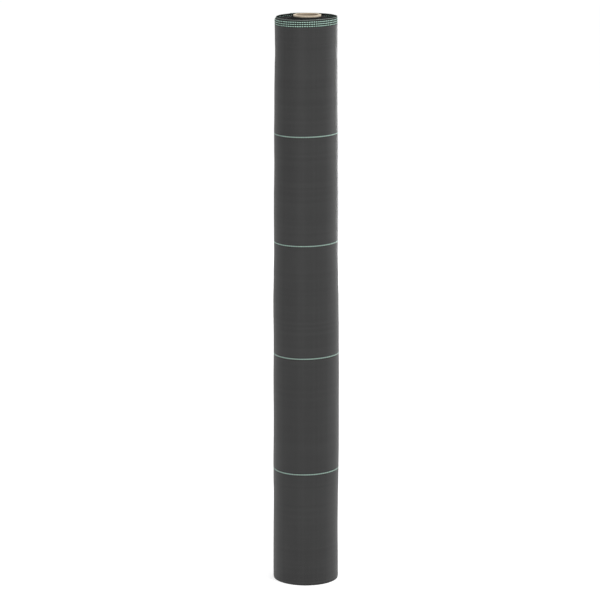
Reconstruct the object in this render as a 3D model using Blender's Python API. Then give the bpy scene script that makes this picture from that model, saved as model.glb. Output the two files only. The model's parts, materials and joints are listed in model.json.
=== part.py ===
"""A roll of woven weed control sheet, standing on end. Metres, +Z up.

The sheet is wound on a cardboard tube. Its inner turns are one plain pack, and its last turns are one
unbroken spiral of sheet round that pack. The free end lies at the back (+Y) and is cut into strips, which
lift off the roll one after the other about upright bend lines. Green yarns run round the sheet: a band of
them in the top selvedge, and single marker lines spaced down the sheet. Adhesive tapes hold the free end
down.
"""

import math

import bmesh
import bpy

# Sheet and winding
SHEET_WIDTH = 1.0
ROLL_RADIUS = 0.056
SHEET_THICKNESS = 0.00045
TURN_GAP = 0.0005
OUTER_TURN_COUNT = 3
PACK_RECESS = 0.0015
STATIONS_PER_TURN = 72

# Cardboard tube and the tape that starts the sheet on it
CORE_BORE_RADIUS = 0.019
CORE_WALL = 0.005
CORE_PROUD = 0.004
START_TAPE_WIDTH = 0.048
START_TAPE_THICKNESS = 0.0003
START_TAPE_MARGIN = 0.04
START_TAPE_ANGLE = math.radians(-60)

# Free end, at the back of the roll
FREE_EDGE_ANGLE = math.radians(122)
END_STRIP_COUNT = 3
END_STRIP_ANGLE = math.radians(32)
BEND_GAP = 0.0004
FREE_END_RAISE = 0.001

# Green yarns
YARN_WIDTH = 0.0018
YARN_THICKNESS = 0.0003
YARN_SEAT_GAP = 0.0002
YARN_END_GAP = 0.0008
SELVEDGE_YARN_COUNT = 3
SELVEDGE_FIRST_DOWN = 0.0032
SELVEDGE_YARN_PITCH = 0.0036
MARKER_PITCH = 0.2
MARKER_STRAY_SHARES = (0.0, -0.05, -0.055, -0.015)
MARKER_BOTTOM_MARGIN = 0.02

# Tapes that hold the free end down
CLOSING_TAPE_WIDTH = 0.048
CLOSING_TAPE_THICKNESS = 0.0003
CLOSING_TAPE_BEND_CLEARANCE = 0.016
CLOSING_TAPE_REACH = 0.02
CLOSING_TAPE_STEP_LENGTH = 0.004
CLOSING_TAPE_MARGIN = 0.012

# Clearance between pieces that touch
FIT_GAP = 0.0003

# Overrun of the bore cutters past the faces that they cut
CUT_OVERRUN = 0.002

# Sizes that follow from those above
TURN_PITCH = SHEET_THICKNESS + TURN_GAP
FULL_TURN = 2 * math.pi
STATION_STEP = FULL_TURN / STATIONS_PER_TURN
WINDING_END = FULL_TURN * OUTER_TURN_COUNT
FIRST_BEND = WINDING_END - END_STRIP_COUNT * END_STRIP_ANGLE
CORE_RADIUS = CORE_BORE_RADIUS + CORE_WALL
PACK_BORE_RADIUS = CORE_RADIUS + FIT_GAP
SHARP_ANGLE = math.radians(35)

# Colour and roughness
FINISHES = {
    "woven_sheet": ((0.052, 0.053, 0.053), 0.62),
    "green_yarn": ((0.23, 0.42, 0.33), 0.5),
    "cardboard": ((0.47, 0.38, 0.27), 0.9),
    "tape": ((0.62, 0.56, 0.42), 0.25),
}


def clear_scene():
    for old in list(bpy.data.objects):
        bpy.data.objects.remove(old, do_unlink=True)


def material(name):
    """The named finish's material, made on its first use."""
    found = bpy.data.materials.get(name)
    if found:
        return found
    colour, roughness = FINISHES[name]
    made = bpy.data.materials.new(name)
    made.use_nodes = True
    shader = made.node_tree.nodes["Principled BSDF"]
    shader.inputs["Base Color"].default_value = (*colour, 1.0)
    shader.inputs["Roughness"].default_value = roughness
    shader.inputs["Metallic"].default_value = 0.0
    return made


# Winding law. A winding angle counts from the start of the outer turns, and the pack's last turn lies
# below 0.


def azimuth(winding):
    """Direction round the roll of a point at this winding angle."""
    return FREE_EDGE_ANGLE - WINDING_END + winding


def outer_face(winding):
    """Radius of the sheet's outer face."""
    return ROLL_RADIUS - TURN_PITCH * (WINDING_END - winding) / FULL_TURN


def inner_face(winding):
    return outer_face(winding) - SHEET_THICKNESS


def middle_face(winding):
    return outer_face(winding) - SHEET_THICKNESS / 2


def arc(length, radius=ROLL_RADIUS):
    """The angle that a length takes up on a circle."""
    return length / radius


def stations(start, end):
    """Winding angles from start to end, on the roll's common stations between them."""
    first = math.floor(start / STATION_STEP) + 1
    last = math.ceil(end / STATION_STEP) - 1
    inside = [step * STATION_STEP for step in range(first, last + 1)]
    spare = STATION_STEP / STATIONS_PER_TURN
    kept = [angle for angle in inside if start + spare < angle < end - spare]
    return [start, *kept, end]


def point(radius, angle, height, origin=(0, 0)):
    return (radius * math.cos(angle) - origin[0], radius * math.sin(angle) - origin[1], height)


# Solids


def add_object(name, bm, finish, parent=None):
    bmesh.ops.recalc_face_normals(bm, faces=bm.faces)
    mesh = bpy.data.meshes.new(name)
    bm.to_mesh(mesh)
    bm.free()
    mesh.shade_smooth()
    mesh.set_sharp_from_angle(angle=SHARP_ANGLE)
    mesh.materials.append(material(finish))
    made = bpy.data.objects.new(name, mesh)
    made.parent = parent
    bpy.context.scene.collection.objects.link(made)
    return made


def swept_ribbon(angles, inner, outer, low, high, origin=(0, 0)):
    """A band bent round the roll's axis: one four-cornered section at each azimuth, joined in a row, with
    both ends closed. inner and outer give the radii at each step, and low and high are its heights."""
    bm = bmesh.new()
    sections = []
    for angle, near, far in zip(angles, inner, outer):
        corners = ((near, low), (far, low), (far, high), (near, high))
        sections.append([bm.verts.new(point(radius, angle, height, origin)) for radius, height in corners])
    for before, after in zip(sections, sections[1:]):
        for side in range(4):
            following = (side + 1) % 4
            bm.faces.new((before[side], before[following], after[following], after[side]))
    bm.faces.new(sections[0])
    bm.faces.new(sections[-1])
    return bm


def extruded_outline(outline, low, high):
    """A solid with this outline, a list of x and y, from low to high."""
    bm = bmesh.new()
    base = bm.faces.new([bm.verts.new((x, y, low)) for x, y in outline])
    grown = bmesh.ops.extrude_face_region(bm, geom=[base])
    raised = [item for item in grown["geom"] if isinstance(item, bmesh.types.BMVert)]
    bmesh.ops.translate(bm, verts=raised, vec=(0, 0, high - low))
    return bm


def circle(radius):
    angles = [step * STATION_STEP for step in range(STATIONS_PER_TURN)]
    return [(radius * math.cos(angle), radius * math.sin(angle)) for angle in angles]


def cut(target, outline, low, high):
    """Cuts a hole of this outline through the target."""
    bm = extruded_outline(outline, low - CUT_OVERRUN, high + CUT_OVERRUN)
    cutter = add_object(target.name + "_cutter", bm, target.active_material.name)
    cutter.hide_render = True
    cutter.display_type = "WIRE"
    boolean = target.modifiers.new("bore", "BOOLEAN")
    boolean.operation = "DIFFERENCE"
    boolean.solver = "EXACT"
    boolean.object = cutter


# Core


def core_tube():
    height = SHEET_WIDTH + CORE_PROUD
    tube = add_object("core_tube", extruded_outline(circle(CORE_RADIUS), 0, height), "cardboard")
    cut(tube, circle(CORE_BORE_RADIUS), 0, height)


def start_tape_span():
    """Azimuths of the two long edges of the tape under the first turn."""
    half = arc(START_TAPE_WIDTH, CORE_RADIUS) / 2
    return START_TAPE_ANGLE - half, START_TAPE_ANGLE + half


def core_start_tape():
    start, end = start_tape_span()
    angles = stations(start, end)
    inner = [PACK_BORE_RADIUS] * len(angles)
    outer = [PACK_BORE_RADIUS + START_TAPE_THICKNESS] * len(angles)
    high = SHEET_WIDTH - PACK_RECESS - START_TAPE_MARGIN
    bm = swept_ribbon(angles, inner, outer, START_TAPE_MARGIN, high)
    add_object("core_start_tape", bm, "tape")


# Sheet


def pack_bore_outline():
    """The first turn's inner face: a circle on the tube, which steps out over the start tape."""
    start, end = start_tape_span()
    edge = arc(FIT_GAP, CORE_RADIUS)
    raised = PACK_BORE_RADIUS + START_TAPE_THICKNESS + FIT_GAP
    over_tape = stations(start - edge, end + edge)
    rest = stations(end + 2 * edge, start - 2 * edge + FULL_TURN)
    radii = [raised] * len(over_tape) + [PACK_BORE_RADIUS] * len(rest)
    return [
        (radius * math.cos(angle), radius * math.sin(angle)) for radius, angle in zip(radii, over_tape + rest)
    ]


def wound_turns():
    """The pack of inner turns. Its outline is its own last turn, which ends in a step one turn high, where
    the outer turns begin."""
    high = SHEET_WIDTH - PACK_RECESS
    windings = [step * STATION_STEP - FULL_TURN for step in range(STATIONS_PER_TURN + 1)]
    outline = [
        (outer_face(winding) * math.cos(azimuth(winding)), outer_face(winding) * math.sin(azimuth(winding)))
        for winding in windings
    ]
    pack = add_object("sheet_wound_turns", extruded_outline(outline, 0, high), "woven_sheet")
    cut(pack, pack_bore_outline(), 0, high)


def sheet_piece(name, start, end, low=0, parent=None, origin=(0, 0)):
    """A stretch of the sheet at its full thickness and width, with its lower edge at this height."""
    windings = stations(start, end)
    bm = swept_ribbon(
        [azimuth(winding) for winding in windings],
        [inner_face(winding) for winding in windings],
        [outer_face(winding) for winding in windings],
        low,
        low + SHEET_WIDTH,
        origin,
    )
    add_object(name, bm, "woven_sheet", parent)


def outer_turns():
    start = arc(FIT_GAP)
    end = FIRST_BEND - arc(BEND_GAP) / 2
    sheet_piece("sheet_outer_turns", start, end)
    return start, end


def least_turn_gap(start, end):
    """Least distance from a point on the sheet's outer face to one on the inner face of the turn over it."""
    windings = stations(start, WINDING_END)
    faces = [point(outer_face(winding), azimuth(winding), 0) for winding in windings]
    backs = [point(inner_face(winding), azimuth(winding), 0) for winding in windings]
    return min(
        math.dist(face, back)
        for winding, face in zip(windings, faces)
        for other, back in zip(windings, backs)
        if other - winding > FULL_TURN / 2
    )


# Yarns


def yarn_heights():
    """Height of each green yarn's middle on the fixed turns, by name, from the top down."""
    heights = {}
    for count in range(SELVEDGE_YARN_COUNT):
        down = SELVEDGE_FIRST_DOWN + count * SELVEDGE_YARN_PITCH
        heights[f"selvedge_yarn_{count + 1}"] = SHEET_WIDTH - down
    for count, height in enumerate(marker_heights()):
        heights[f"marker_yarn_{count + 1}"] = height
    return heights


def marker_heights():
    count = math.floor((SHEET_WIDTH - MARKER_BOTTOM_MARGIN) / MARKER_PITCH)
    strays = [MARKER_STRAY_SHARES[line % len(MARKER_STRAY_SHARES)] for line in range(count)]
    return [SHEET_WIDTH - (line + 1 + stray) * MARKER_PITCH for line, stray in enumerate(strays)]


def yarn(name, start, end, height, parent=None, origin=(0, 0)):
    windings = stations(start, end)
    seats = [outer_face(winding) + YARN_SEAT_GAP for winding in windings]
    bm = swept_ribbon(
        [azimuth(winding) for winding in windings],
        seats,
        [seat + YARN_THICKNESS for seat in seats],
        height - YARN_WIDTH / 2,
        height + YARN_WIDTH / 2,
        origin,
    )
    add_object(name, bm, "green_yarn", parent)


def fixed_yarns():
    """The yarns on the part of the last fixed turn that the free end leaves open."""
    start = WINDING_END - FULL_TURN + arc(YARN_END_GAP)
    end = FIRST_BEND - arc(YARN_END_GAP) / 2
    for name, height in yarn_heights().items():
        yarn(name, start, end, height)


# Free end


def bend_point(winding):
    """Where a bend line meets the ground plane, as x and y."""
    radius = middle_face(winding)
    return radius * math.cos(azimuth(winding)), radius * math.sin(azimuth(winding))


def free_end():
    """The strips, each with its yarns, parented in a chain of empties on the bend lines. They lie a little
    higher than the fixed turns, so that they swing clear of what the roll stands on."""
    parent = None
    parent_origin = (0, 0)
    for count in range(END_STRIP_COUNT):
        bend = FIRST_BEND + count * END_STRIP_ANGLE
        following = bend + END_STRIP_ANGLE
        last = count == END_STRIP_COUNT - 1
        origin = bend_point(bend)
        pivot = bpy.data.objects.new(f"bend_line_{count + 1}", None)
        pivot.parent = parent
        pivot.location = (origin[0] - parent_origin[0], origin[1] - parent_origin[1], 0)
        bpy.context.scene.collection.objects.link(pivot)
        sheet_end = following if last else following - arc(BEND_GAP) / 2
        start = bend + arc(BEND_GAP) / 2
        sheet_piece(f"sheet_end_strip_{count + 1}", start, sheet_end, FREE_END_RAISE, pivot, origin)
        yarn_start = bend + arc(YARN_END_GAP) / 2
        yarn_end = following if last else following - arc(YARN_END_GAP) / 2
        for name, height in yarn_heights().items():
            raised = height + FREE_END_RAISE
            yarn(f"{name}_on_strip_{count + 1}", yarn_start, yarn_end, raised, pivot, origin)
        parent = pivot
        parent_origin = origin
    closing_tapes(parent, parent_origin)


def closing_tape_heights():
    """Each tape lies midway between two marker lines, or a line and an edge. They take the top, the middle
    and the bottom one of the spaces that are wide enough."""
    lines = [SHEET_WIDTH, *marker_heights(), 0]
    room = CLOSING_TAPE_WIDTH + 2 * CLOSING_TAPE_MARGIN
    middles = [(above + below) / 2 for above, below in zip(lines, lines[1:]) if above - below > room]
    return {"top": middles[0], "middle": middles[len(middles) // 2], "bottom": middles[-1]}


def closing_tapes(parent, origin):
    """Each tape lies on the last strip and, past the free edge, steps down onto the turn below."""
    start = WINDING_END - END_STRIP_ANGLE + arc(CLOSING_TAPE_BEND_CLEARANCE)
    step_start = WINDING_END + arc(FIT_GAP)
    step_end = step_start + arc(CLOSING_TAPE_STEP_LENGTH)
    end = WINDING_END + arc(CLOSING_TAPE_REACH)
    on_strip = stations(start, step_start)
    on_turn = stations(step_end, end)
    seats = [outer_face(winding) + FIT_GAP for winding in on_strip]
    seats += [outer_face(winding - FULL_TURN) + FIT_GAP for winding in on_turn]
    windings = on_strip + on_turn
    for place, height in closing_tape_heights().items():
        bm = swept_ribbon(
            [azimuth(winding) for winding in windings],
            seats,
            [seat + CLOSING_TAPE_THICKNESS for seat in seats],
            height - CLOSING_TAPE_WIDTH / 2,
            height + CLOSING_TAPE_WIDTH / 2,
            origin,
        )
        add_object(f"closing_tape_{place}", bm, "tape", parent)


def build():
    clear_scene()
    core_tube()
    core_start_tape()
    wound_turns()
    start, _ = outer_turns()
    fixed_yarns()
    free_end()
    print(f"least gap between turns of the winding: {least_turn_gap(start, WINDING_END) * 1000:.3f} mm")


build()
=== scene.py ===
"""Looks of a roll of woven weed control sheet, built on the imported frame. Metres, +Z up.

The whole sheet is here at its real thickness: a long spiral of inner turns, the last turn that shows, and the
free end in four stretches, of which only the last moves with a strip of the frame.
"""

import json
import math

import bpy
import numpy as np
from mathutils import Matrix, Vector, noise

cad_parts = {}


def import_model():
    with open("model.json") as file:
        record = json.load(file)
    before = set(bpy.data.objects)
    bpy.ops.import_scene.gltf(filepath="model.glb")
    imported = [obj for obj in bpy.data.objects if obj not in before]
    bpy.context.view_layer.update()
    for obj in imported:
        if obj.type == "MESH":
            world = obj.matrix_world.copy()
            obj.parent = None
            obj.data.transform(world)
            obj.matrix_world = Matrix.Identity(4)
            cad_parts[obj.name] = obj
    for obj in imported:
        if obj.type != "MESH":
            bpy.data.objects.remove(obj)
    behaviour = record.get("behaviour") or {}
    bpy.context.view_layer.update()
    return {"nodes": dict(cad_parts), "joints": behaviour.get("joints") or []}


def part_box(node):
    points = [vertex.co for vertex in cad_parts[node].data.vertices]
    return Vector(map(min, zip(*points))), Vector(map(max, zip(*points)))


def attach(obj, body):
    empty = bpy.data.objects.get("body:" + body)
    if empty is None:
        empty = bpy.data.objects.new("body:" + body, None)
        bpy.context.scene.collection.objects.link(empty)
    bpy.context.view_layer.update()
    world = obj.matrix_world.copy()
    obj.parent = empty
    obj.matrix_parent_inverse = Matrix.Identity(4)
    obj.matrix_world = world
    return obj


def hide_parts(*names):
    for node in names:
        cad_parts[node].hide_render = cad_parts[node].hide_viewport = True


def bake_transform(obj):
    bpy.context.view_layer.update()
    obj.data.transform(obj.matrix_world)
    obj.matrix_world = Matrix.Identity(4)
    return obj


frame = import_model()

FULL_TURN = 2 * math.pi
MM = 0.001

# Camera and image, from the photograph
IMAGE_SIDE_PX = 600
FOCAL_PX = 2928.0
SENSOR_WIDTH_MM = 36.0
CAMERA_DISTANCE = 5.0
CAMERA_HEIGHT = 1.593
CAMERA_PITCH = math.radians(12.29)
CAMERA_YAW = math.radians(0.142)

# Studio. Each light has a name, its azimuth and elevation from the roll in degrees (azimuth -90 is towards the
# camera), and its power in watts. The world and the floor's glow are stronger where the camera sees them.
LIGHTS = (
    ("front_right_high", -40, 45, 37),
    ("front_left", -110, 0, 16),
    ("right_back", 30, 0, 12),
    ("back", 70, 0, 40),
)
LIGHT_DISTANCE = 3.0
LIGHT_BASE_HEIGHT = 0.6
LIGHT_SIZE = (0.9, 2.0)
WORLD_STRENGTH = (0.5, 1.0)
FLOOR_REACH = 30.0
FLOOR_COLOUR = (0.8, 0.8, 0.8, 1)
FLOOR_GLOW = (0.0, 0.62)

# Sheet. Its warp tapes run round the roll, its weft tapes run up it, and their loops stand past its upper edge.
SHEET_THICKNESS = 0.24 * MM
TURN_PITCH = 0.32 * MM
WARP_PITCH = 2.3 * MM
SELVEDGE_WARP_PITCH = 1.8 * MM
WEFT_PITCH = 2.12 * MM
EDGE_LOOPS = 0.6 * MM
CORE_GAP = 0.3 * MM
TUCKED_ANGLE = math.radians(40)
SHAPED_TURNS = 17.0
STATION_STEP = math.radians(5)
SHARP_ANGLE = math.radians(50)

# Free end: how far it stands off the turn below, a little all along, and more at its edge away from the tapes
LOOSE_LIFT = 0.35 * MM
LOOSE_LIFT_ANGLE = math.radians(10)
EDGE_LIFT = 2.0 * MM
EDGE_LIFT_ANGLE = math.radians(30)
EDGE_LIFT_REACH = 90 * MM
TAPE_GRIP = 4 * MM

# Ends of the warp tapes past the cut edge: their least, middle and spread of reach, and the room kept below them
FRAY_LEAST = 0.15 * MM
FRAY_REACH = 1.1 * MM
FRAY_SPREAD = 1.5 * MM
FRAY_SKEW = 0.35
FRAY_HALF_WIDTH = 0.43 * WARP_PITCH
FRAY_THICKNESS = 0.1 * MM
FRAY_SUNK = 0.06 * MM
FRAY_CLEARANCE = 0.14 * MM
FRAY_STATIONS = (-0.25, 0.35, 1.0)

# Yarns that stand on the sheet's face. Half of one's width is YARN_NARROW of YARN_WIDTH where it dips, and
# YARN_WIDEN more on its crest.
YARN_WIDTH = 1.35 * MM
YARN_NARROW = 0.33
YARN_WIDEN = 0.2
YARN_THICKNESS = 0.12 * MM
YARN_RISE = 0.17 * MM
YARN_DIP = 0.1 * MM
YARN_SQUARENESS = 2.2
YARN_ROWS = (-1.0, -0.8, -0.3, 0.3, 0.8, 1.0)
YARN_STATIONS_PER_TAPE = 4

# Tube, and how far below its top the rows of points on its outside and in its bore lie
CORE_SEGMENTS = 160
CORE_PLIES = 9
PLY_RELIEF = 0.12 * MM
CORE_RIM_ROUNDING = 0.5 * MM
CORE_FRAY = 0.12 * MM
CORE_FRAY_REACH = 1.0 * MM
CORE_SEAM_PITCH = 110 * MM
CORE_OUTER_ROWS = (0.3, 0.06, 0.02, 0.006, 0.002)
CORE_BORE_ROWS = (0.0015, 0.006, 0.02, 0.06, 0.15, 0.3, 0.5, 0.75)

# Closing tapes, which step down to the turn below over TAPE_STEP, measured past the free edge
TAPE_THICKNESS = 0.06 * MM
TAPE_LIFT = 0.28 * MM
TAPE_STEP = (0.5 * MM, 6.0 * MM)
TAPE_WRINKLE = 0.07 * MM
TAPE_TOOTH_PITCH = 1.6 * MM
TAPE_TOOTH_DEPTH = 0.9 * MM
TAPE_STATION_STEP = 0.8 * MM

# Shape of the roll: height above the floor as a share of the sheet's width, and how far the outer turn lies
# outside the frame's roll there, in millimetres
BULGE = (
    (0.0, 1.5), (0.04, 1.6), (0.1, 1.5), (0.15, 1.5), (0.18, 1.9), (0.21, 2.1), (0.3, 1.9), (0.36, 1.9),
    (0.43, 1.6), (0.47, 1.8), (0.5, 1.7), (0.55, 0.8), (0.59, -0.1), (0.65, 0.1), (0.69, 0.05),
    (0.71, -0.35), (0.75, -0.8), (0.77, -0.55), (0.8, -0.55), (0.835, -1.1), (0.88, -1.3), (0.915, -1.6),
    (0.94, -2.15), (0.96, -1.8), (0.985, -1.8), (1.0, -1.75),
)
# How far the winding's outer turns lie off the tube's axis to +X, and how far the roll leans out there at each
# height, in millimetres
OFF_AXIS = -2.2
BOW = (
    (0.0, -0.2), (0.066, -0.25), (0.154, 0.13), (0.296, 0.83), (0.4, 0.65), (0.51, 0.26), (0.6, 0.05),
    (0.72, 0.3), (0.88, -0.05), (0.96, 0.3), (1.0, 0.1),
)
DENT_DEPTH = 0.45 * MM
RIPPLE_DEPTH = 0.12 * MM

# Selvedges: the lower one rolls in below a slight ridge, and the upper one leans in, most on one side
TUCK_DEPTH = 0.5 * MM
TUCK_HEIGHT = 3.2 * MM
RIDGE_DEPTH = 0.18 * MM
RIDGE_HEIGHT = 4.2 * MM
RIDGE_SPREAD = 1.2 * MM
LEAN_DEPTH = 0.4 * MM
CURL_DEPTH = 1.9 * MM
CURL_HEIGHT = 4.5 * MM
CURL_SIDE = math.radians(178)

# Ends of the winding. Turns are counted in from the free edge, and a pair gives where a change starts and ends.
COIL_TURNS = (1.38, 2.88)
COIL_SINK = 0.3 * MM
DISH_DEPTH = 4.6 * MM
DISH_FRONT = math.radians(-70)
DISH_START_TURNS = (1.38, 1.88)
DISH_END_TURNS = (45, 95)
CORE_RISE = 0.9 * MM
CORE_RISE_TURNS = (60, 85)
GROOVE_DEPTH = 2.6 * MM
GROOVE_TURNS = (88, 97)
CLIMB = 1.1 * MM
WANDER = 0.3 * MM
STRAY = 0.8 * MM
SLOW_STRAY = 0.7 * MM
SLOW_STRAY_TURNS = (1.3, 7.3)
BOTTOM_STRAY = 0.25 * MM

# Colours, and the depth of each finish's relief
SHEET_COLOUR = (0.0284, 0.0286, 0.0285)
# The pale rim colour is a painted highlight on the loops of the last turn's upper edge.
RIM_HIGHLIGHT_COLOUR = (0.33, 0.385, 0.355)
YARN_COLOUR = (0.61, 0.92, 0.78)
BOARD_COLOUR = (0.76, 0.66, 0.52)
BOARD_DARK = (0.58, 0.49, 0.37)
# The bore's colour is brown inner ply, darker still as a painted shade inside the tube.
BORE_PLY_AND_SHADE_COLOUR = (0.46, 0.375, 0.28)
TAPE_COLOUR = (0.62, 0.56, 0.42)
TAPE_ALPHA = 0.66
WEAVE_RELIEF = 0.07 * MM
YARN_RELIEF = 0.02 * MM
BOARD_RELIEF = 0.12 * MM
TAPE_RELIEF = 0.03 * MM

# Bands in the sheet's finish: heights over which its painted shade at the foot ends, its painted highlight over
# the ridge starts and that highlight ends, how far below the loops' ends the painted rim starts (a highlight on
# the last turn and a shade on the inner turns), and how far below the selvedge it darkens
FOOT_SHADE_BAND = (1.2 * MM, 3.4 * MM)
RIDGE_HIGHLIGHT_BAND = (3.0 * MM, 4.2 * MM)
ABOVE_RIDGE_HIGHLIGHT_BAND = (5.5 * MM, 7.0 * MM)
PAINTED_RIM_BAND = (0.9 * MM, 0.4 * MM)
SELVEDGE_FADE = 1.6 * MM

# Bands in the tube's finish: how deep its outer face goes, where above the sheet the painted shade at that face's
# foot fades out, how far below its top the tube is paler as a painted highlight, and how far out from the bore's
# face the outer board's colour starts
OUTER_FACE_DEPTH = 0.2 * MM
GROOVE_SHADE_BAND = (0.7 * MM, 1.9 * MM)
PAINTED_RIM_HIGHLIGHT_BAND = (1.2 * MM, 0.3 * MM)
BORE_BAND = (0.3 * MM, 1.2 * MM)

# Bands in the tapes' finish, past the free edge: where the tape comes off the sheet, and is stuck down again
BRIDGE_START_BAND = (-0.2 * MM, 0.6 * MM)
BRIDGE_END_BAND = (3.6 * MM, 6.0 * MM)
EDGE_SHADOW_WIDTH = 0.7 * MM


# Places taken from the frame


def joint_place(name):
    return Vector(next(joint["pos_m"] for joint in frame["joints"] if joint["name"] == name))


def direction(place):
    return math.atan2(place.y, place.x)


def node_points(node):
    return [vertex.co for vertex in frame["nodes"][node].data.vertices]


def node_span(node):
    """Least and greatest azimuth of a node that lies round the axis behind the roll."""
    angles = [direction(place) for place in node_points(node)]
    return min(angles), max(angles)


def node_radius(node):
    return max(math.hypot(place.x, place.y) for place in node_points(node))


def node_height(node):
    low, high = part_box(node)
    return (low.z + high.z) / 2


BENDS = [direction(joint_place(f"free_end_bend_{count}")) for count in (1, 2, 3)]
FREE_EDGE = node_span("sheet_end_strip_3")[1]
SHEET_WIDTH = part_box("sheet_outer_turns")[1].z
ROLL_RADIUS = node_radius("sheet_end_strip_3")
CORE_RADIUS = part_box("core_tube")[1].x
CORE_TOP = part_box("core_tube")[1].z
CORE_BORE_RADIUS = min(math.hypot(place.x, place.y) for place in node_points("core_tube"))
SELVEDGE_LINES = [node_height(f"selvedge_yarn_{count}") for count in (1, 2, 3)]
SELVEDGE_START = SELVEDGE_LINES[2] - SELVEDGE_WARP_PITCH / 2
MARKER_LINES = [node_height(f"marker_yarn_{count}") for count in (1, 2, 3, 4)]
TAPE_SPANS = [[corner.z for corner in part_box(f"closing_tape_{place}")] for place in ("bottom", "middle", "top")]
WINDING_START = FREE_EDGE - FULL_TURN * (ROLL_RADIUS - CORE_RADIUS - CORE_GAP) / TURN_PITCH
SHAPED_START = FREE_EDGE - FULL_TURN * SHAPED_TURNS
LAST_TURN_START = BENDS[0] - FULL_TURN - TUCKED_ANGLE

# Heights of the deep turns' rows of points
COARSE_EDGE = 4 * MM
COARSE_MARGIN = 12 * MM
COARSE_STEP = (SHEET_WIDTH - 2 * COARSE_MARGIN) / 3
COARSE_ROWS = [COARSE_MARGIN + COARSE_STEP * count for count in range(4)]


# Shape of the winding. Its angle is the azimuth, counted on through every turn up to the free edge.


def smooth(share):
    share = min(max(share, 0.0), 1.0)
    return share * share * (3 - 2 * share)


def eased(value, start, end):
    """0 at start, 1 at end, and smooth between them."""
    return smooth((value - start) / (end - start))


def wave(x, y, z):
    """Smooth noise between -1 and 1, the same in each run."""
    return noise.noise(Vector((x, y, z)))


def along_curve(curve, share, ease):
    for (low, first), (high, second) in zip(curve, curve[1:]):
        if share <= high:
            return first + (second - first) * ease((share - low) / (high - low))
    return curve[-1][1]


def bulge(share):
    """How far the outer turn lies outside the frame's roll at this share of the sheet's width."""
    return along_curve(BULGE, share, smooth) * MM


def bow(share, angle):
    """How far the roll leans out there at this azimuth."""
    return (OFF_AXIS + along_curve(BOW, share, smooth)) * MM * math.cos(angle)


COARSE_BULGE = [(height / SHEET_WIDTH, bulge(height / SHEET_WIDTH)) for height in (0.0, *COARSE_ROWS, SHEET_WIDTH)]


def coarse_bulge(share):
    """The bulge, drawn straight between the few rows of points that the deep turns have."""
    return along_curve(COARSE_BULGE, share, float)


def dents(angle, height):
    """Shallow hollows and ripples, alike on every turn of a place, so that turns never meet."""
    around = Vector((math.cos(angle), math.sin(angle), 0.0))
    wide = noise.noise(around * 1.3 + Vector((3.1, 7.7, height * 9.0)))
    ripple = noise.noise(around * 3.2 + Vector((11.3, 1.9, height * 34.0)))
    return DENT_DEPTH * wide + RIPPLE_DEPTH * ripple


def plain_radius(angle):
    return ROLL_RADIUS - TURN_PITCH * (FREE_EDGE - angle) / FULL_TURN


def turns_in(angle):
    """How many turns lie outside this place on the winding."""
    return (FREE_EDGE - angle) / FULL_TURN


def length_to(angle):
    """Length of sheet from the free edge to this angle."""
    turned = FREE_EDGE - angle
    return ROLL_RADIUS * turned - TURN_PITCH * turned * turned / (2 * FULL_TURN)


def looseness(angle, height):
    """How far the sheet stands off the turn below, which only the free end does."""
    lift = LOOSE_LIFT * eased(angle, BENDS[0], BENDS[0] + LOOSE_LIFT_ANGLE)
    near_edge = eased(angle, FREE_EDGE - EDGE_LIFT_ANGLE, FREE_EDGE)
    if near_edge:
        away = min(max(low - height, height - high, 0.0) for low, high in TAPE_SPANS)
        share = 0.75 + 0.9 * wave(height * 7.0, 3.7, 0.6)
        lift += EDGE_LIFT * near_edge * smooth((away - TAPE_GRIP) / EDGE_LIFT_REACH) * share
    return lift


def edge_tuck(angle, height):
    """How far the selvedges stand out, or in where it is below zero."""
    tuck = -TUCK_DEPTH * (1 - smooth(height / TUCK_HEIGHT))
    ridge = RIDGE_DEPTH * math.exp(-(((height - RIDGE_HEIGHT) / RIDGE_SPREAD) ** 2))
    side = (0.5 + 0.5 * math.cos(angle - CURL_SIDE)) ** 2
    curl = -(LEAN_DEPTH + CURL_DEPTH * side) * eased(height, SHEET_WIDTH - CURL_HEIGHT, SHEET_WIDTH)
    return tuck + ridge + curl


def radius_at(angle, height):
    """Radius of the sheet's outer face."""
    plain = plain_radius(angle)
    share = min(max(height / SHEET_WIDTH, 0.0), 1.0)
    deep = smooth(turns_in(angle) / SHAPED_TURNS)
    shape = coarse_bulge(share) + OFF_AXIS * MM * math.cos(angle)
    if deep < 1:
        outer = bulge(share) + bow(share, angle) + dents(angle, height) + edge_tuck(angle, height)
        shape = outer + (shape - outer) * deep
    return plain + looseness(angle, height) + shape * eased(plain, CORE_RADIUS, ROLL_RADIUS)


def top_edge(angle):
    """Height of the upper edge. Inside the last turns it sinks by up to DISH_DEPTH, but not at the front, rises
    again towards the tube down to a groove round it, and strays a little from turn to turn. The last turns
    climb a little to the right."""
    turned = turns_in(angle)
    inside = eased(turned, *COIL_TURNS)
    side = smooth(1 - math.cos(angle - DISH_FRONT))
    dish = DISH_DEPTH * side * eased(turned, *DISH_START_TURNS) * (1 - eased(turned, *DISH_END_TURNS))
    rise = CORE_RISE * eased(turned, *CORE_RISE_TURNS) - GROOVE_DEPTH * eased(turned, *GROOVE_TURNS)
    climb = CLIMB * math.cos(angle) * (0.5 - 0.5 * math.sin(angle)) * (1 - inside)
    wander = WANDER * wave(turned * 1.7, 5.5, 0.0)
    stray = STRAY * inside * wave(turned * 0.83, 0.0, 2.5)
    slow = SLOW_STRAY * eased(turned, *SLOW_STRAY_TURNS) * wave(turned * 0.21, 9.1, 0.0)
    return SHEET_WIDTH + EDGE_LOOPS - dish + rise + climb + wander + stray + slow - COIL_SINK * inside


def bottom_edge(angle):
    """Height of the lower edge, which the floor keeps level."""
    turned = turns_in(angle)
    return BOTTOM_STRAY * smooth(turned) * (1 + wave(turned * 1.3, 2.2, 7.0))


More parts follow.
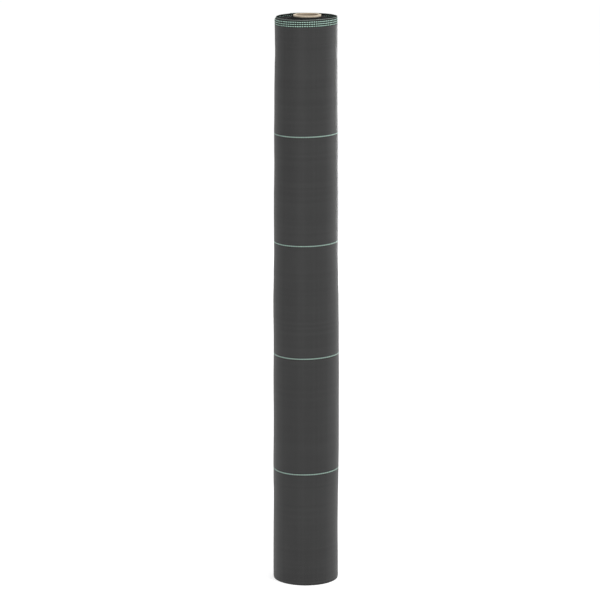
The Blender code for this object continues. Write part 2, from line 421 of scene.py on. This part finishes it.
def warp_tape(height):
    """Which warp tape lies at this height, counted up from the selvedge's lowest."""
    pitch = SELVEDGE_WARP_PITCH if height > SELVEDGE_START else WARP_PITCH
    return math.floor((height - SELVEDGE_START) / pitch)


def on_roll(radius, angle, height):
    return (radius * math.cos(angle), radius * math.sin(angle), height)


# Meshes


def make_piece(name, points, faces, body, material):
    mesh = bpy.data.meshes.new(name)
    mesh.from_pydata(points, [], faces)
    mesh.validate()
    mesh.shade_smooth()
    mesh.set_sharp_from_angle(angle=SHARP_ANGLE)
    mesh.materials.append(material)
    piece = bpy.data.objects.new(name, mesh)
    bpy.context.scene.collection.objects.link(piece)
    if body:
        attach(piece, body)
    return piece


def set_places(piece, places, name="cloth"):
    """Keeps each point's place in its material: along it, across it, and which face it is on."""
    layer = piece.data.attributes.new(name, "FLOAT_VECTOR", "POINT")
    layer.data.foreach_set("vector", np.array(places, np.float32).ravel())


def shell_faces(columns, rows):
    """Faces of a closed shell: an outer grid of columns by rows, then an inner one, joined round the edge."""
    size = columns * rows
    faces = []
    for column in range(columns - 1):
        for row in range(rows - 1):
            a = column * rows + row
            b = a + rows
            faces.append((a, b, b + 1, a + 1))
            faces.append((size + a, size + a + 1, size + b + 1, size + b))
        low, high = column * rows, column * rows + rows - 1
        faces.append((low, low + size, low + rows + size, low + rows))
        faces.append((high, high + rows, high + rows + size, high + size))
    for row in range(rows - 1):
        faces.append((row, row + 1, row + 1 + size, row + size))
        last = (columns - 1) * rows + row
        faces.append((last, last + size, last + 1 + size, last + 1))
    return faces


def stations(start, end):
    """Angles from start to end, on places that all turns share, so that their facets nest."""
    first = math.floor(start / STATION_STEP) + 1
    last = math.ceil(end / STATION_STEP) - 1
    return [start, *[STATION_STEP * count for count in range(first, last + 1)], end]


def steps(start, end, step):
    count = max(2, math.ceil((end - start) / step) + 1)
    return [start + (end - start) * place / (count - 1) for place in range(count)]


def row_shares(step, edge_steps):
    """Shares of the sheet's width from 0 to 1, closer together near both edges."""
    edges = [edge / SHEET_WIDTH for edge in edge_steps]
    inner = steps(edges[-1], 1 - edges[-1], step / SHEET_WIDTH)
    return [0.0, *edges[:-1], *inner, *[1 - edge for edge in reversed(edges[:-1])], 1.0]


def set_bake_map(piece, columns, rows, outer_share):
    """Gives each face of a shell its own place in the map named OFBake: the outer grid on the left,
    the inner one on the right, and the faces round the edge beside them."""
    size = len(columns) * len(rows)
    margin, gap = 0.01, 0.004
    spans = ((margin, outer_share - margin), (outer_share + margin, 1 - 2 * margin))
    places = []
    for start, end in spans:
        for column in columns:
            for row in rows:
                places.append((start + (end - start) * column, 2 * margin + (1 - 4 * margin) * row))
    layer = piece.data.uv_layers.new(name="OFBake")
    corners = np.zeros((len(piece.data.loops), 2), np.float32)
    for face in piece.data.polygons:
        inner = [vertex for vertex in face.vertices if vertex >= size]
        on_edge = len(inner) == 2
        for loop in face.loop_indices:
            vertex = piece.data.loops[loop].vertex_index
            u, v = places[vertex]
            if on_edge and vertex >= size:
                u, v = places[vertex - size]
                column, row = divmod(vertex - size, len(rows))
                sides = [divmod(other % size, len(rows)) for other in face.vertices]
                if all(side[1] == row for side in sides):
                    v += gap if row else -gap
                else:
                    u += gap if column else -gap
            corners[loop] = (u, v)
    layer.data.foreach_set("uv", corners.ravel())


def sheet_stretch(name, angles, shares, body=None, outer_share=0.6):
    """A stretch of the sheet over these winding angles, with rows at these shares of its width."""
    points = []
    places = []
    for face in (0, 1):
        for angle in angles:
            low, high = bottom_edge(angle), top_edge(angle)
            along = length_to(angle)
            for share in shares:
                height = low + (high - low) * share
                radius = radius_at(angle, height) - SHEET_THICKNESS * face
                points.append(on_roll(radius, angle, height))
                places.append((along, SHEET_WIDTH + EDGE_LOOPS - (high - height), face))
    piece = make_piece(name, points, shell_faces(len(angles), len(shares)), body, WOVEN)
    set_places(piece, places)
    around = [(angle - angles[0]) / (angles[-1] - angles[0]) for angle in angles]
    set_bake_map(piece, around, shares, outer_share)
    return piece


# Materials


class Tree:
    """A material's nodes, made one call at a time."""

    # Sockets of a Mix node: its share, the two values, and the two colours
    MIX_SHARE, MIX_VALUES, MIX_COLOURS = 0, (2, 3), (6, 7)

    def __init__(self, name):
        self.material = bpy.data.materials.new(name)
        self.material.use_nodes = True
        self.nodes = self.material.node_tree.nodes
        self.shader = self.nodes["Principled BSDF"]

    def link(self, source, target):
        self.material.node_tree.links.new(source, target)

    def node(self, kind, **settings):
        made = self.nodes.new(kind)
        for key, value in settings.items():
            setattr(made, key, value)
        return made

    def feed(self, socket, value):
        if isinstance(value, bpy.types.NodeSocket):
            self.link(value, socket)
        else:
            socket.default_value = value

    def math(self, operation, first, second=0.0, third=0.0):
        made = self.node("ShaderNodeMath", operation=operation)
        for socket, value in zip(made.inputs, (first, second, third)):
            self.feed(socket, value)
        return made.outputs[0]

    def product(self, value, *factors):
        for factor in factors:
            value = self.math("MULTIPLY", value, factor)
        return value

    def away_from(self, value, place):
        return self.math("ABSOLUTE", self.math("SUBTRACT", value, place))

    def mix(self, share, first, second):
        made = self.node("ShaderNodeMix", data_type="FLOAT")
        self.feed(made.inputs[self.MIX_SHARE], share)
        for index, value in zip(self.MIX_VALUES, (first, second)):
            self.feed(made.inputs[index], value)
        return made.outputs[0]

    def mix_colour(self, share, first, second):
        made = self.node("ShaderNodeMix", data_type="RGBA")
        self.feed(made.inputs[self.MIX_SHARE], share)
        for index, colour in zip(self.MIX_COLOURS, (first, second)):
            self.feed(made.inputs[index], (*colour, 1.0) if isinstance(colour, tuple) else colour)
        return made.outputs[2]

    def scaled(self, colour, factor):
        made = self.node("ShaderNodeVectorMath", operation="SCALE")
        self.feed(made.inputs[0], colour)
        self.feed(made.inputs["Scale"], factor)
        return made.outputs[0]

    def ramp(self, value, low, high, to_low=0.0, to_high=1.0):
        made = self.node("ShaderNodeMapRange", clamp=True, interpolation_type="SMOOTHSTEP")
        for socket, number in zip(made.inputs, (value, low, high, to_low, to_high)):
            self.feed(socket, number)
        return made.outputs[0]

    def place(self, name):
        """The three parts of each point's place that set_places kept."""
        kept = self.node("ShaderNodeAttribute", attribute_type="GEOMETRY", attribute_name=name)
        made = self.node("ShaderNodeSeparateXYZ")
        self.link(kept.outputs["Vector"], made.inputs[0])
        return made.outputs

    def join(self, x, y, z=0.0):
        made = self.node("ShaderNodeCombineXYZ")
        for socket, value in zip(made.inputs, (x, y, z)):
            self.feed(socket, value)
        return made.outputs[0]

    def noise(self, vector, scale, detail=2.0, roughness=0.5):
        made = self.node("ShaderNodeTexNoise")
        self.link(vector, made.inputs["Vector"])
        made.inputs["Scale"].default_value = scale
        made.inputs["Detail"].default_value = detail
        made.inputs["Roughness"].default_value = roughness
        return made.outputs["Fac"]

    def random(self, vector):
        made = self.node("ShaderNodeTexWhiteNoise", noise_dimensions="3D")
        self.link(vector, made.inputs["Vector"])
        return made.outputs["Value"]

    def finish(self, colour, roughness, specular, relief, depth):
        """Sets the shader. The relief is a height, and depth is how many metres 1 of it stands for."""
        bump = self.node("ShaderNodeBump")
        bump.inputs["Strength"].default_value = 1.0
        bump.inputs["Distance"].default_value = depth
        self.link(relief, bump.inputs["Height"])
        self.link(bump.outputs["Normal"], self.shader.inputs["Normal"])
        self.link(colour, self.shader.inputs["Base Color"])
        self.link(roughness, self.shader.inputs["Roughness"])
        self.shader.inputs["Specular IOR Level"].default_value = specular
        return self.material


def weave(tree, along, across, face):
    """Plain weave. Gives which warp tape is at a place, 1 where it is the upper tape and 0 where the weft is,
    the upper tape's relief, and its own tone."""
    above = tree.math("SUBTRACT", across, SELVEDGE_START)
    open_count = tree.math("DIVIDE", above, WARP_PITCH)
    close_count = tree.math("DIVIDE", above, SELVEDGE_WARP_PITCH)
    warp_count = tree.mix(tree.math("GREATER_THAN", across, SELVEDGE_START), open_count, close_count)
    weft_count = tree.math("DIVIDE", along, WEFT_PITCH)
    warp_index = tree.math("FLOOR", warp_count)
    weft_index = tree.math("FLOOR", weft_count)
    in_warp = tree.math("FRACT", warp_count)
    in_weft = tree.math("FRACT", weft_count)
    total = tree.math("ADD", tree.math("ADD", weft_index, warp_index), tree.math("ROUND", face))
    warp_up = tree.math("FLOORED_MODULO", total, 2.0)

    over = tree.mix(warp_up, in_weft, in_warp)
    lengthwise = tree.mix(warp_up, in_warp, in_weft)
    from_middle = tree.math("ABSOLUTE", tree.math("MULTIPLY_ADD", over, 2.0, -1.0))
    crown = tree.math("SUBTRACT", 1.0, tree.math("POWER", from_middle, 4.0))
    arch = tree.math("SINE", tree.product(lengthwise, math.pi))
    relief = tree.product(crown, tree.math("MULTIPLY_ADD", arch, 0.6, 0.4))
    tone = tree.mix(warp_up, tree.random(tree.join(weft_index, 3.0)), tree.random(tree.join(warp_index, 8.0)))
    return warp_index, warp_up, relief, tone


def on_green_tape(tree, across, warp_index):
    """1 on the warp tapes that are green, and 0 elsewhere."""
    green = None
    for line in (*SELVEDGE_LINES, *MARKER_LINES):
        on_tape = tree.math("COMPARE", warp_index, warp_tape(line), 0.5)
        on_line = tree.product(tree.math("LESS_THAN", tree.away_from(across, line), YARN_WIDTH / 2), on_tape)
        green = on_line if green is None else tree.math("MAXIMUM", green, on_line)
    return green


def woven_material():
    """Black weave, with green where the yarns pass through it, painted shade in the gaps between tapes and at its
    foot, a painted highlight over its lower ridge, a darker selvedge band, a pale rim of loops that is a painted
    highlight on the last turn, and a painted shade, streaked and in rings, on the inner turns' tops."""
    tree = Tree("woven_sheet")
    along, across, face = tree.place("cloth")
    warp_index, warp_up, relief, tone = weave(tree, along, across, face)
    flat = tree.join(along, across)
    near_selvedge = (SELVEDGE_START - SELVEDGE_FADE, SELVEDGE_START)
    at_rim = tree.ramp(across, *[SHEET_WIDTH + EDGE_LOOPS - down for down in PAINTED_RIM_BAND])
    inner_turn = tree.math("GREATER_THAN", along, length_to(LAST_TURN_START))

    # On the inner turns' tops, the selvedge's darkening below times these streaks and rings is a painted shade of
    # the sunk end face, streaked and in rings.
    streaks = tree.noise(tree.join(along, 7.0), 30.0)
    rings = tree.noise(tree.join(along, 3.0), 0.8, 3.0)
    coil_light = tree.product(tree.ramp(streaks, 0.3, 0.7, 1.6, 7.0), tree.ramp(rings, 0.35, 0.65, 0.5, 1.9))
    tape_light = tree.math("MULTIPLY_ADD", tone, 0.30, 0.85)
    kind_light = tree.mix(warp_up, 0.94, 1.06)
    cloud_light = tree.ramp(tree.noise(flat, 11.0, 3.0), 0.25, 0.75, 0.92, 1.08)
    # Painted shade in the gaps between the tapes of the weave.
    gap_shade = tree.ramp(relief, 0.0, 0.35, 0.45, 1.0)
    # Painted shade at the foot, where the sheet meets the floor.
    foot_shade = tree.ramp(across, *FOOT_SHADE_BAND, 0.42, 1.0)
    # Painted highlight over the lower ridge.
    ridge_highlight = tree.product(
        tree.ramp(across, *RIDGE_HIGHLIGHT_BAND, 1.0, 1.22), tree.ramp(across, *ABOVE_RIDGE_HIGHLIGHT_BAND, 1.0, 0.82)
    )
    # Darker over the selvedge band; on the inner turns' tops this darkening also paints the shade of the sunk end
    # face.
    selvedge_light = tree.ramp(across, *near_selvedge, 1.0, 0.1)
    painted_rim_light = tree.mix(tree.product(at_rim, inner_turn), 1.0, coil_light)
    light = tree.product(
        tape_light, kind_light, cloud_light, gap_shade, foot_shade, ridge_highlight, selvedge_light, painted_rim_light
    )

    # Painted highlight: the pale rim of loops along the last turn's upper edge, with glints that change from tape
    # to tape.
    outer_rim_highlight = tree.product(at_rim, tree.math("SUBTRACT", 1.0, inner_turn))
    loop_glints = tree.product(tape_light, tree.math("MULTIPLY_ADD", warp_up, 0.7, 0.65))
    colour = tree.mix_colour(outer_rim_highlight, tree.scaled(SHEET_COLOUR, light), tree.scaled(RIM_HIGHLIGHT_COLOUR, loop_glints))
    green = tree.product(on_green_tape(tree, across, warp_index), warp_up)
    colour = tree.mix_colour(green, colour, tree.scaled(YARN_COLOUR, 0.62))

    rough = tree.ramp(tree.noise(flat, 900.0), 0.3, 0.7, 0.46, 0.60)
    rough = tree.math("ADD", rough, tree.ramp(across, *near_selvedge, 0.0, 0.25))
    return tree.finish(colour, rough, 0.35, relief, WEAVE_RELIEF)


def yarn_material():
    """Green tapes, each of its own tone from one crossing to the next, with a fine grain along them."""
    tree = Tree("green_yarn")
    along, across, _ = tree.place("cloth")
    tone = tree.random(tree.join(tree.math("FLOOR", tree.math("DIVIDE", along, 2 * WEFT_PITCH)), across))
    grain = tree.noise(tree.join(along, tree.product(across, 12.0)), 600.0)
    light = tree.product(tree.math("MULTIPLY_ADD", tone, 0.22, 0.89), tree.math("MULTIPLY_ADD", grain, 0.16, 0.92))
    rough = tree.ramp(grain, 0.3, 0.7, 0.38, 0.52)
    return tree.finish(tree.scaled(YARN_COLOUR, light), rough, 0.4, grain, YARN_RELIEF)


def board_material():
    """Spiral-wound grey and brown board: fibres, darker seams along the spiral, and specks. It is darker just
    above the sheet as a painted shade, paler at its top rim as a painted highlight, and its brown bore carries
    painted shade."""
    tree = Tree("cardboard")
    around, height, radius = tree.place("board")
    along = tree.join(tree.product(around, CORE_RADIUS * FULL_TURN), height, radius)
    fibres = tree.noise(along, 420.0, 4.0, 0.65)
    cloud = tree.noise(along, 60.0)
    turn = tree.math("FRACT", tree.math("ADD", tree.math("DIVIDE", height, CORE_SEAM_PITCH), around))
    seam = tree.ramp(tree.away_from(turn, 0.5), 0.0, 0.012, 0.55, 1.0)
    # Painted shade: the tube's outer face is dark just above the sheet, where it stands in the groove round the
    # tube.
    groove_shade = tree.ramp(height, *[SHEET_WIDTH + up for up in GROOVE_SHADE_BAND], 0.12, 1.0)
    groove_shade = tree.mix(tree.math("GREATER_THAN", radius, CORE_RADIUS - OUTER_FACE_DEPTH), 1.0, groove_shade)
    # Painted highlight: the tube is paler towards its top rim.
    painted_rim_light = tree.ramp(height, *[CORE_TOP - down for down in PAINTED_RIM_HIGHLIGHT_BAND], 1.0, 1.2)
    light = tree.product(tree.ramp(fibres, 0.3, 0.7, 0.88, 1.1), seam, groove_shade, painted_rim_light)

    outside = tree.ramp(radius, *[CORE_BORE_RADIUS + out for out in BORE_BAND])
    colour = tree.mix_colour(tree.ramp(cloud, 0.3, 0.75), BOARD_COLOUR, BOARD_DARK)
    # Inside the bore the brown ply colour also carries painted shade.
    colour = tree.mix_colour(outside, BORE_PLY_AND_SHADE_COLOUR, colour)
    rough = tree.ramp(fibres, 0.2, 0.8, 0.82, 0.96)
    return tree.finish(tree.scaled(colour, light), rough, 0.25, tree.product(fibres, seam), BOARD_RELIEF)


def tape_material():
    """Buff packing tape, a little see-through, with fine draw lines. It is paler where it bridges the sheet's
    free edge and isn't stuck down, and in small bubbles."""
    tree = Tree("tape")
    along, across, _ = tree.place("film")
    lines = tree.noise(tree.join(tree.product(along, 0.08), across), 1500.0)
    patches = tree.noise(tree.join(along, across), 210.0, 3.0)
    past_edge = tree.math("SUBTRACT", along, FREE_EDGE * ROLL_RADIUS)
    bridge = tree.product(
        tree.ramp(past_edge, *BRIDGE_START_BAND), tree.ramp(past_edge, *BRIDGE_END_BAND, 1.0, 0.0)
    )
    light = tree.product(
        tree.ramp(lines, 0.3, 0.7, 0.93, 1.05),
        tree.ramp(patches, 0.5, 0.72, 0.86, 1.1),
        tree.ramp(tree.math("ABSOLUTE", past_edge), 0.0, EDGE_SHADOW_WIDTH, 0.72, 1.0),
        tree.math("MULTIPLY_ADD", bridge, 0.3, 1.0),
    )
    tree.shader.inputs["Alpha"].default_value = TAPE_ALPHA
    rough = tree.ramp(patches, 0.3, 0.7, 0.16, 0.3)
    return tree.finish(
        tree.scaled(TAPE_COLOUR, light), rough, 0.5, tree.math("ADD", lines, patches), TAPE_RELIEF
    )


WOVEN = woven_material()
GREEN = yarn_material()
BOARD = board_material()
FILM = tape_material()


# Pieces


def fixed_turns(name, angles, shares, node):
    """A stretch of the winding that rides the roll, and lies on the piece named below."""
    piece = sheet_stretch(name, angles, shares, "roll", outer_share=0.9)
    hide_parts(node)


def winding():
    """The sheet from the tube to the free end: deep turns, which only their edges show, shaped turns, and the
    last turn."""
    coarse = [0.0, COARSE_EDGE, *COARSE_ROWS, SHEET_WIDTH - COARSE_EDGE, SHEET_WIDTH]
    fixed_turns(
        "sheet_deep_turns_cloth", stations(WINDING_START, SHAPED_START),
        [height / SHEET_WIDTH for height in coarse], "sheet_wound_turns",
    )
    fixed_turns(
        "sheet_wound_turns_cloth", stations(SHAPED_START, LAST_TURN_START),
        row_shares(30 * MM, (1.5 * MM, 4 * MM, 12 * MM)), "sheet_wound_turns",
    )
    fixed_turns(
        "sheet_outer_turns_cloth",
        steps(LAST_TURN_START, BENDS[0], math.radians(1.8)),
        row_shares(6 * MM, (0.8 * MM, 1.6 * MM, 2.4 * MM, 3.2 * MM, 4.2 * MM, 5.4 * MM, 8 * MM)),
        "sheet_outer_turns",
    )


def free_end_stretches():
    """The four stretches of the free end: name, bodies, first and last angle, and the strip that each stands
    for. All but the last have two bodies listed."""
    half = (BENDS[1] - BENDS[0]) / 2
    middles = [bend + half for bend in BENDS]
    starts = [BENDS[0], *middles]
    ends = [*middles, FREE_EDGE]
    bodies = [("roll", "free_end_1"), ("free_end_1", "free_end_2"), ("free_end_2", "free_end_3"), ("free_end_3",)]
    strips = [1, 2, 3, 3]
    return list(zip("abcd", bodies, starts, ends, strips))


def bend_piece(piece, bodies):
    """Makes a piece with one body follow it; a piece with two stays where it was built."""
    if len(bodies) == 1:
        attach(piece, bodies[0])
        return
    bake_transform(piece)


def free_end():
    shares = row_shares(8 * MM, (1.2 * MM, 2.4 * MM, 3.2 * MM, 4.2 * MM, 5.4 * MM, 8 * MM))
    for letter, bodies, start, end, strip in free_end_stretches():
        angles = steps(start, end, math.radians(1.0))
        piece = sheet_stretch(f"sheet_free_end_{letter}", angles, shares)
        bend_piece(piece, bodies)
        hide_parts(f"sheet_end_strip_{strip}")


def yarn_rise(along, line):
    """How high a yarn stands on the sheet's face: up over one tape and down under the next."""
    phase = math.cos(math.pi * (along / WEFT_PITCH + warp_tape(line) + 0.5))
    swing = math.tanh(YARN_SQUARENESS * phase) / math.tanh(YARN_SQUARENESS)
    return (YARN_RISE - YARN_DIP) / 2 + (YARN_RISE + YARN_DIP) / 2 * swing


def yarn_piece(name, line, start, end):
    """A yarn that weaves in and out of the sheet's outer face, as one crowned tape, wider where it stands up."""
    count = max(3, round((length_to(start) - length_to(end)) / WEFT_PITCH * YARN_STATIONS_PER_TAPE))
    angles = [start + (end - start) * station / count for station in range(count + 1)]
    points = []
    places = []
    for face in (0, 1):
        for angle in angles:
            along = length_to(angle)
            shift = top_edge(angle) - EDGE_LOOPS - SHEET_WIDTH
            rise = yarn_rise(along, line)
            half = YARN_WIDTH * (YARN_NARROW + YARN_WIDEN * eased(rise, -YARN_DIP, YARN_RISE))
            for share in YARN_ROWS:
                height = line + share * half
                crown = YARN_THICKNESS * 0.5 * abs(share) ** 4
                radius = radius_at(angle, height + shift) + rise - crown
                if face:
                    radius -= YARN_THICKNESS - crown
                points.append(on_roll(radius, angle, height + shift))
                places.append((along, height, face))
    piece = make_piece(name, points, shell_faces(len(angles), len(YARN_ROWS)), None, GREEN)
    set_places(piece, places)
    return piece


def yarns():
    lines = {f"selvedge_yarn_{count + 1}": line for count, line in enumerate(SELVEDGE_LINES)}
    lines.update({f"marker_yarn_{count + 1}": line for count, line in enumerate(MARKER_LINES)})
    for name, line in lines.items():
        piece = yarn_piece(f"{name}_tape", line, LAST_TURN_START + TUCKED_ANGLE / 2, BENDS[0])
        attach(piece, "roll")
        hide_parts(name)
        for letter, bodies, start, end, strip in free_end_stretches():
            piece = yarn_piece(f"{name}_tape_{letter}", line, start, end)
            bend_piece(piece, bodies)
            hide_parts(f"{name}_on_strip_{strip}")


def core_profile():
    """Radius and height of the tube's outline, from its foot up its outside, over its plies and down the bore."""
    wall = CORE_RADIUS - CORE_BORE_RADIUS
    top = []
    for step in range(2 * CORE_PLIES + 1):
        share = step / (2 * CORE_PLIES)
        near_edge = min(share, 1 - share) * wall
        rounding = CORE_RIM_ROUNDING * max(0.0, 1 - near_edge / CORE_RIM_ROUNDING) ** 2
        down = rounding + (PLY_RELIEF if step % 2 else 0.0)
        top.append((CORE_RADIUS - wall * share, CORE_TOP - down))
    return [
        (CORE_RADIUS - CORE_RIM_ROUNDING, 0.0),
        (CORE_RADIUS, CORE_RIM_ROUNDING),
        *[(CORE_RADIUS, CORE_TOP - down) for down in CORE_OUTER_ROWS],
        *top,
        *[(CORE_BORE_RADIUS, CORE_TOP - down) for down in CORE_BORE_ROWS],
        (CORE_BORE_RADIUS, CORE_RIM_ROUNDING),
        (CORE_BORE_RADIUS + CORE_RIM_ROUNDING, 0.0),
    ]


def core():
    """The tube, a little frayed at its top."""
    profile = core_profile()
    rows = len(profile)
    points = []
    places = []
    faces = []
    for segment in range(CORE_SEGMENTS):
        angle = FULL_TURN * segment / CORE_SEGMENTS
        following = (segment + 1) % CORE_SEGMENTS
        for row, (radius, height) in enumerate(profile):
            fray = CORE_FRAY * wave(math.cos(angle) * 4, math.sin(angle) * 4, row * 0.7)
            near_top = height > CORE_TOP - CORE_FRAY_REACH
            lifted = min(height + fray, CORE_TOP) if near_top else height
            points.append(on_roll(radius, angle, lifted))
            places.append((segment / CORE_SEGMENTS, height, radius))
            after = (row + 1) % rows
            a, b = segment * rows, following * rows
            faces.append((a + row, b + row, b + after, a + after))
    piece = make_piece("core_tube_board", points, faces, "roll", BOARD)
    set_places(piece, places, "board")
    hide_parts("core_tube")


def tape_radius(angle, height):
    """The tape lies on the free end and steps down past its edge onto the turn below."""
    on_end = radius_at(min(angle, FREE_EDGE), height)
    on_turn = radius_at(angle - FULL_TURN, height)
    past = eased((angle - FREE_EDGE) * ROLL_RADIUS, *TAPE_STEP)
    wrinkle = TAPE_WRINKLE * wave(angle * 40, height * 120, 0.0)
    return on_end + (on_turn - on_end) * past + TAPE_LIFT + wrinkle


def closing_tape(place):
    """A strip of tape across the free edge, with both its ends torn off on a saw-toothed blade."""
    node = f"closing_tape_{place}"
    low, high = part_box(node)
    heights = steps(low.z, high.z, TAPE_TOOTH_PITCH / 4)
    angles = steps(*node_span(node), TAPE_STATION_STEP / ROLL_RADIUS)
    last = len(angles) - 1
    points = []
    places = []
    for face in (0, 1):
        for column, angle in enumerate(angles):
            for height in heights:
                tooth = abs((height / TAPE_TOOTH_PITCH) % 1 - 0.5) * 2 * TAPE_TOOTH_DEPTH / ROLL_RADIUS
                moved = angle + (tooth if column == 0 else -tooth if column == last else 0.0)
                radius = tape_radius(moved, height) - TAPE_THICKNESS * face
                points.append(on_roll(radius, moved, height))
                places.append((moved * ROLL_RADIUS, height, face))
    piece = make_piece(f"{node}_film", points, shell_faces(len(angles), len(heights)), "free_end_3", FILM)
    set_places(piece, places, "film")
    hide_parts(node)


def frayed_edge():
    """Ends of the warp tapes, which stand past the cut edge by unlike amounts, clear of the turn below."""
    points = []
    faces = []
    places = []
    middle_height = SHEET_WIDTH / 2
    edge_drop = radius_at(FREE_EDGE, middle_height) - radius_at(FREE_EDGE - FULL_TURN, middle_height)
    for tape in range(math.floor(SHEET_WIDTH / WARP_PITCH)):
        middle = (tape + 0.5) * WARP_PITCH
        pick = wave(tape * 0.731, 4.4, 0.0) + 0.6 * wave(tape * 0.09, 1.1, 0.0)
        reach = max(FRAY_LEAST, FRAY_REACH + FRAY_SPREAD * pick)
        skew = FRAY_SKEW * wave(tape * 0.57, 8.2, 3.3)
        first = len(points)
        for face in (0, 1):
            for share in FRAY_STATIONS:
                angle = FREE_EDGE + reach * share / ROLL_RADIUS
                past = max(0.0, share)
                drop = past * (edge_drop - SHEET_THICKNESS)
                for side in (-1, 1):
                    height = middle + side * FRAY_HALF_WIDTH + skew * reach * past
                    below = radius_at(angle - FULL_TURN, height)
                    radius = max(radius_at(FREE_EDGE, height) - FRAY_SUNK - drop, below + FRAY_CLEARANCE)
                    points.append(on_roll(radius - FRAY_THICKNESS * face, angle, height))
                    places.append((FREE_EDGE - angle, height, 0))
        faces.extend(tuple(first + index for index in face) for face in shell_faces(len(FRAY_STATIONS), 2))
    piece = make_piece("sheet_frayed_edge", points, faces, "free_end_3", WOVEN)
    set_places(piece, places)


def start_tape():
    """The tape under the first turn keeps its solid, with the tape's finish."""
    node = frame["nodes"]["core_start_tape"]
    node.data.materials.clear()
    node.data.materials.append(FILM)


# Stage


def backdrop_strength(tree, unseen, seen):
    """A strength that is one value where the camera, a reflection or a see-through ray looks, and another where
    the surface only lights the object."""
    path = tree.nodes.new("ShaderNodeLightPath")
    looked_at = path.outputs["Is Camera Ray"]
    for output in ("Is Glossy Ray", "Is Transmission Ray"):
        either = tree.nodes.new("ShaderNodeMath")
        either.operation = "MAXIMUM"
        tree.links.new(looked_at, either.inputs[0])
        tree.links.new(path.outputs[output], either.inputs[1])
        looked_at = either.outputs[0]
    level = tree.nodes.new("ShaderNodeMapRange")
    level.inputs["To Min"].default_value = unseen
    level.inputs["To Max"].default_value = seen
    tree.links.new(looked_at, level.inputs["Value"])
    return level.outputs["Result"]


def world():
    made = bpy.data.worlds.new("studio")
    bpy.context.scene.world = made
    made.use_nodes = True
    background = made.node_tree.nodes["Background"]
    background.inputs["Color"].default_value = (1, 1, 1, 1)
    strength = backdrop_strength(made.node_tree, *WORLD_STRENGTH)
    made.node_tree.links.new(strength, background.inputs["Strength"])


def floor():
    mesh = bpy.data.meshes.new("floor")
    corners = [(x * FLOOR_REACH, y * FLOOR_REACH, 0) for x, y in ((-1, -1), (1, -1), (1, 1), (-1, 1))]
    mesh.from_pydata(corners, [], [(0, 1, 2, 3)])
    piece = bpy.data.objects.new("floor", mesh)
    bpy.context.scene.collection.objects.link(piece)
    made = bpy.data.materials.new("floor")
    made.use_nodes = True
    nodes, links = made.node_tree.nodes, made.node_tree.links
    nodes.remove(nodes["Principled BSDF"])
    diffuse = nodes.new("ShaderNodeBsdfDiffuse")
    diffuse.inputs["Color"].default_value = FLOOR_COLOUR
    glow = nodes.new("ShaderNodeEmission")
    links.new(backdrop_strength(made.node_tree, *FLOOR_GLOW), glow.inputs["Strength"])
    add = nodes.new("ShaderNodeAddShader")
    links.new(diffuse.outputs[0], add.inputs[0])
    links.new(glow.outputs[0], add.inputs[1])
    links.new(add.outputs[0], nodes["Material Output"].inputs["Surface"])
    mesh.materials.append(made)


def area_light(name, azimuth, elevation, energy):
    """A tall soft light, which looks at the roll's middle."""
    data = bpy.data.lights.new(name, "AREA")
    data.shape = "RECTANGLE"
    data.size, data.size_y = LIGHT_SIZE
    data.energy = energy
    flat = LIGHT_DISTANCE * math.cos(math.radians(elevation))
    height = LIGHT_BASE_HEIGHT + LIGHT_DISTANCE * math.sin(math.radians(elevation))
    place = Vector(on_roll(flat, math.radians(azimuth), height))
    lamp = bpy.data.objects.new(name, data)
    lamp.location = place
    lamp.rotation_euler = (Vector((0, 0, SHEET_WIDTH / 2)) - place).to_track_quat("-Z", "Y").to_euler()
    bpy.context.scene.collection.objects.link(lamp)


def camera():
    data = bpy.data.cameras.new("camera")
    data.sensor_width = SENSOR_WIDTH_MM
    data.lens = FOCAL_PX / IMAGE_SIDE_PX * SENSOR_WIDTH_MM
    made = bpy.data.objects.new("camera", data)
    made.location = (0.0, -CAMERA_DISTANCE, CAMERA_HEIGHT)
    made.rotation_euler = (math.pi / 2 - CAMERA_PITCH, 0.0, CAMERA_YAW)
    bpy.context.scene.collection.objects.link(made)
    bpy.context.scene.camera = made


def stage():
    world()
    floor()
    for light in LIGHTS:
        area_light(*light)
    camera()


bpy.context.scene.view_settings.view_transform = "Standard"
core()
winding()
free_end()
yarns()
for tape_place in ("top", "middle", "bottom"):
    closing_tape(tape_place)
frayed_edge()
start_tape()
stage()
